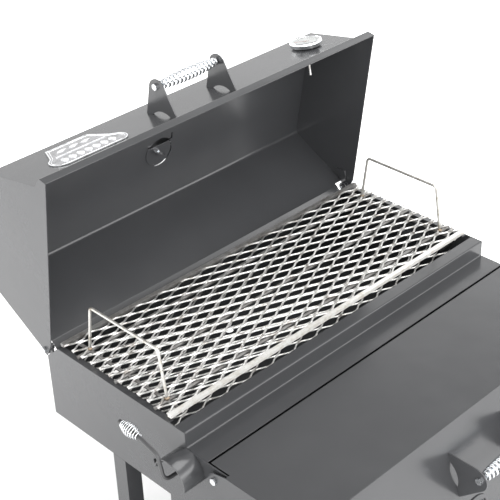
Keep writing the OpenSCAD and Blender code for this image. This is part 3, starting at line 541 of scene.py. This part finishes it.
PLATE_T = 3 * MM
PLATE_H = 104 * MM
# Heights above the lid: the field's underside and face, the studs' tops
FIELD_BASE, FIELD_TOP, STUD_TOP = 0.2 * MM, 1.6 * MM, 2.6 * MM
# Just under the field's face, so that what stands on it leaves no gap
FIELD_HOLD = 1.4 * MM
plate_w = high("nameplate").x - low("nameplate").x
plate_foot = middle("nameplate") - LID_UP * PLATE_H / 2 - LID_N * PLATE_T / 2


def on_plate(part):
    verts, faces = part
    return [lid_place(plate_foot, p, z) for p, z in verts], faces


outlines = [plate_outline(plate_w, PLATE_H, inset * MM) for inset in (0, 2.6, 5.2, 6.6)]
new_piece("plate_field", *on_plate(slab(outlines[0], FIELD_BASE, FIELD_TOP)), "plate_field", "smoker_lid",
          ["nameplate"], slot="chrome")
border = join([ring(outlines[0], outlines[1], 0.3 * MM, PLATE_T),
               ring(outlines[2], outlines[3], FIELD_HOLD, 2.5 * MM)])


def lozenge(x, y, w, h):
    """Outline of a pointed leaf."""
    def pointed(value):
        return math.copysign(abs(value) ** 1.5, value)

    angles = [2 * math.pi * k / 16 for k in range(16)]
    return [Vector((x + w / 2 * pointed(math.cos(a)), y + h / 2 * pointed(math.sin(a)))) for a in angles]


leaves = [lozenge((k - 3) * 20 * MM, 27 * MM, 17 * MM, 24 * MM) for k in range(7)]
leaves += [lozenge((k - 1) * 30 * MM, 78 * MM, 24 * MM, 10 * MM) for k in range(3)]
leaves.append([Vector((x * MM, y * MM)) for x, y in ((-62, 53), (62, 53), (62, 55.5), (-62, 55.5))])
studs = join([slab(leaf, FIELD_HOLD, STUD_TOP) for leaf in leaves])
new_piece("plate_border", *on_plate(join([border, studs])), "chrome", "smoker_lid")


# ---- Thermometer dial --------------------------------------------------------

STROKES = 40
STROKE_SWEEP = 270
# Radii of the strokes' inner ends, long and short, and of their outer ends
LONG_STROKE, SHORT_STROKE, STROKE_END = 22 * MM, 25 * MM, 29.5 * MM


def dial_bar(angle, inner, outer, width):
    """A printed stroke from inner to outer radius."""
    a = math.radians(angle)
    ahead = Vector((math.sin(a), math.cos(a)))
    side = Vector((ahead.y, -ahead.x)) * width / 2
    return [ahead * inner - side, ahead * inner + side, ahead * outer + side, ahead * outer - side]


dial_top = -0.15 * MM
print_t = 0.12 * MM
strokes = []
for k in range(STROKES + 1):
    angle = STROKE_SWEEP * (k / STROKES - 0.5)
    inner, width = (SHORT_STROKE, 0.6 * MM) if k % 5 else (LONG_STROKE, 1.3 * MM)
    strokes.append(slab(dial_bar(angle, inner, STROKE_END, width), dial_top, dial_top + print_t))
strokes_verts, strokes_faces = join(strokes)
new_piece("dial_strokes", [lid_place(DIAL, p, z) for p, z in strokes_verts], strokes_faces, "dial_print",
          "smoker_lid", slot="dial_face")


# ---- Bends ---------------------------------------------------------------------


# Corners closer than this are one bend
SAME_BEND = 6 * MM
# A crease is at least this long in metres, and a panel beside it has at least this many square metres
CREASE_LENGTH = 0.5
PANEL_AREA = 0.004
SAME_POINT = 0.02 * MM


def bend_corners(node):
    """Inside corners (y, z) of a sheet folded along X, with the directions of the panels that meet there."""
    sheet = bmesh.new()
    sheet.from_mesh(frame["nodes"][node].data)
    bmesh.ops.remove_doubles(sheet, verts=sheet.verts, dist=SAME_POINT)
    corners = []
    for edge in sheet.edges:
        if len(edge.link_faces) != 2 or edge.calc_length() < CREASE_LENGTH or edge.is_convex:
            continue
        if edge.calc_face_angle() < math.radians(2):
            continue
        place = Vector(edge.verts[0].co.yz)
        corner = next((c for c in corners if (c["place"] - place).length < SAME_BEND), None)
        if corner is None:
            corner = {"place": place, "panels": []}
            corners.append(corner)
        for face in edge.link_faces:
            if face.calc_area() > PANEL_AREA:
                flat = Vector((-face.normal.z, face.normal.y)).normalized()
                outward = face.calc_center_median().yz - place
                corner["panels"].append((flat if flat.dot(outward) > 0 else -flat, place))
    sheet.free()
    return [corner for corner in corners if len(corner["panels"]) == 2]


def bend_fillets(name, node, body, radius):
    """Rolled inside corners along a folded sheet's creases."""
    x0, x1 = low(node).x, high(node).x
    parts = []
    for corner in bend_corners(node):
        (one, start), (two, end) = corner["panels"]
        reach = radius * math.tan((math.pi - one.angle(two)) / 2)
        arc = []
        for k in range(9):
            t = k / 8
            arc.append((start + one * reach) * (1 - t) ** 2 + corner["place"] * 2 * t * (1 - t)
                       + (end + two * reach) * t ** 2)
        outline = arc + [corner["place"]]
        n = len(outline)
        verts = [(x, p.x, p.y) for x in (x0, x1) for p in outline]
        faces = [(i, (i + 1) % n, (i + 1) % n + n, i + n) for i in range(n)]
        faces += [tuple(range(n))[::-1], tuple(range(n, 2 * n))]
        parts.append((verts, faces))
    fillets = new_piece(name, *join(parts), "black_paint", body, smooth=True)
    fillets.modifiers.new("creases", "EDGE_SPLIT").split_angle = math.radians(40)


bend_fillets("lid_bends", "lid_shell", "smoker_lid", 7 * MM)


# ---- CAD nodes ---------------------------------------------------------------

SHEET_NODES = [node for node, slot in SLOTS.items() if slot == "black_paint"]
# grate_bars is the bar steel with a painted highlight on the front bar and painted shade on the rods under
# the mesh; hinge_nuts get the black rod paint
LOOK_OVERRIDES = {"upper_grate_bars": "grate_bars", "hinge_nuts": "black_rod"}
for node, slot in SLOTS.items():
    piece = frame["nodes"][node]
    material = MATERIALS[LOOK_OVERRIDES.get(node, slot)]
    if not piece.material_slots:
        piece.data.materials.append(material)
    for place in piece.material_slots:
        place.link = "OBJECT"
        place.material = material


def soften(node, width):
    """Small rounded edges on a CAD node, as folded and cut sheet has."""
    piece = frame["nodes"][node]
    weld = piece.modifiers.new("weld", "WELD")
    weld.merge_threshold = SAME_POINT
    bevel = piece.modifiers.new("bevel", "BEVEL")
    bevel.width = width
    bevel.segments = 2
    bevel.limit_method = "ANGLE"
    bevel.angle_limit = math.radians(30)
    bevel.harden_normals = False


for node in SHEET_NODES:
    soften(node, 0.5 * MM)
for node in ("upper_grate_bars", "hinge_bolts", "hinge_nuts", "lid_handle_bolt", "firebox_handle_bolt",
             "axle_nuts"):
    soften(node, 0.6 * MM)


# ---- Studio ------------------------------------------------------------------


FLOOR_HALF = 30
# The floor glows from this far from its middle, and fully from the second distance on
GLOW_FROM, GLOW_FULL, GLOW = 1.1, 2.0, 0.9
WORLD_STRENGTH = 2.9
# The camera's angles in degrees, and its place from RIM
AZIMUTH, ELEVATION, ROLL = -43.66, 32.23, -2.09
CAMERA_PLACE = Vector((-1.6310, -1.4237, 1.5575))
CAMERA_LENS = 92.64


def studio_floor():
    """White floor, brightest away from the smoker's shade."""
    side = FLOOR_HALF
    corners = [(-side, -side, 0), (side, -side, 0), (side, side, 0), (-side, side, 0)]
    mesh = bpy.data.meshes.new("studio_floor")
    mesh.from_pydata(corners, [], [(0, 1, 2, 3)])
    floor = bpy.data.objects.new("studio_floor", mesh)
    bpy.context.scene.collection.objects.link(floor)
    m = Nodes("studio_floor")
    m.link(m.ramp(m.noise(0.8), [(0.3, 0.88), (0.7, 0.92)]), "Base Color")
    m.set(Roughness=0.9, Emission_Color=(1, 1, 1, 1))
    distance = m.node("ShaderNodeVectorMath", Vector=m.place)
    distance.operation = "LENGTH"
    glow = m.node("ShaderNodeMapRange", Value=distance.outputs["Value"])
    for key, value in {"From Min": GLOW_FROM, "From Max": GLOW_FULL, "To Min": 0.0, "To Max": GLOW}.items():
        glow.inputs[key].default_value = value
    m.link(glow.outputs["Result"], "Emission Strength")
    mesh.materials.append(m.material)


def studio_world():
    """Soft walls all round, brighter in front and to the left, darker overhead."""
    world = bpy.data.worlds.new("studio")
    bpy.context.scene.world = world
    world.use_nodes = True
    tree = world.node_tree
    place = tree.nodes.new("ShaderNodeTexCoord")
    split = tree.nodes.new("ShaderNodeSeparateXYZ")
    tree.links.new(place.outputs["Generated"], split.inputs[0])

    def ramp(source, stops):
        made = tree.nodes.new("ShaderNodeValToRGB")
        tree.links.new(source, made.inputs[0])
        elements = made.color_ramp.elements
        while len(elements) < len(stops):
            elements.new(0.5)
        for element, (position, tone) in zip(elements, stops):
            element.position = position
            element.color = (tone, tone, tone, 1)
        return made.outputs[0]

    def product(a, b):
        made = tree.nodes.new("ShaderNodeMix")
        made.data_type = "RGBA"
        made.blend_type = "MULTIPLY"
        made.inputs[0].default_value = 1.0
        tree.links.new(a, made.inputs[6])
        tree.links.new(b, made.inputs[7])
        return made.outputs[2]

    def half_turn(output):
        made = tree.nodes.new("ShaderNodeMath")
        made.operation = "MULTIPLY_ADD"
        made.inputs[1].default_value = 0.5
        made.inputs[2].default_value = 0.5
        tree.links.new(output, made.inputs[0])
        return made.outputs[0]

    height = ramp(split.outputs["Z"],
                  [(0, 0.62), (0.28, 0.62), (0.38, 1.15), (0.5, 1.15), (0.6, 0.3), (1, 0.16)])
    front = ramp(half_turn(split.outputs["Y"]), [(0, 1.55), (0.2, 1.4), (0.42, 0.95), (0.8, 0.85), (1, 0.7)])
    left = ramp(half_turn(split.outputs["X"]), [(0, 1.1), (0.5, 1.0), (1, 0.85)])
    tree.links.new(product(product(height, front), left), tree.nodes["Background"].inputs["Color"])
    tree.nodes["Background"].inputs["Strength"].default_value = WORLD_STRENGTH


def area_light(name, place, target, size, power):
    data = bpy.data.lights.new(name, "AREA")
    data.energy = power
    data.size = size
    light = bpy.data.objects.new(name, data)
    bpy.context.scene.collection.objects.link(light)
    light.location = place
    light.rotation_euler = (Vector(target) - Vector(place)).to_track_quat("-Z", "Y").to_euler()


def studio_camera():
    """The camera stands left of the front and looks down on the open chamber."""
    azimuth, elevation, roll = (math.radians(a) for a in (AZIMUTH, ELEVATION, ROLL))
    back = Vector((math.sin(azimuth) * math.cos(elevation), -math.cos(azimuth) * math.cos(elevation),
                   math.sin(elevation)))
    right = (-back).cross(Vector((0, 0, 1))).normalized()
    up = back.cross(right)
    turned = right * math.cos(roll) + up * math.sin(roll)
    data = bpy.data.cameras.new("camera")
    data.lens = CAMERA_LENS
    data.sensor_width = 36
    camera = bpy.data.objects.new("camera", data)
    bpy.context.scene.collection.objects.link(camera)
    axes = Matrix((turned, back.cross(turned), back)).transposed()
    camera.matrix_world = Matrix.Translation(RIM + CAMERA_PLACE) @ axes.to_4x4()
    bpy.context.scene.camera = camera


studio_floor()
studio_world()
studio_camera()
area_light("overhead", place=(0.4, -0.6, 4.2), target=(0, 0, 1), size=2.2, power=60)
bpy.context.scene.view_settings.view_transform = "Standard"
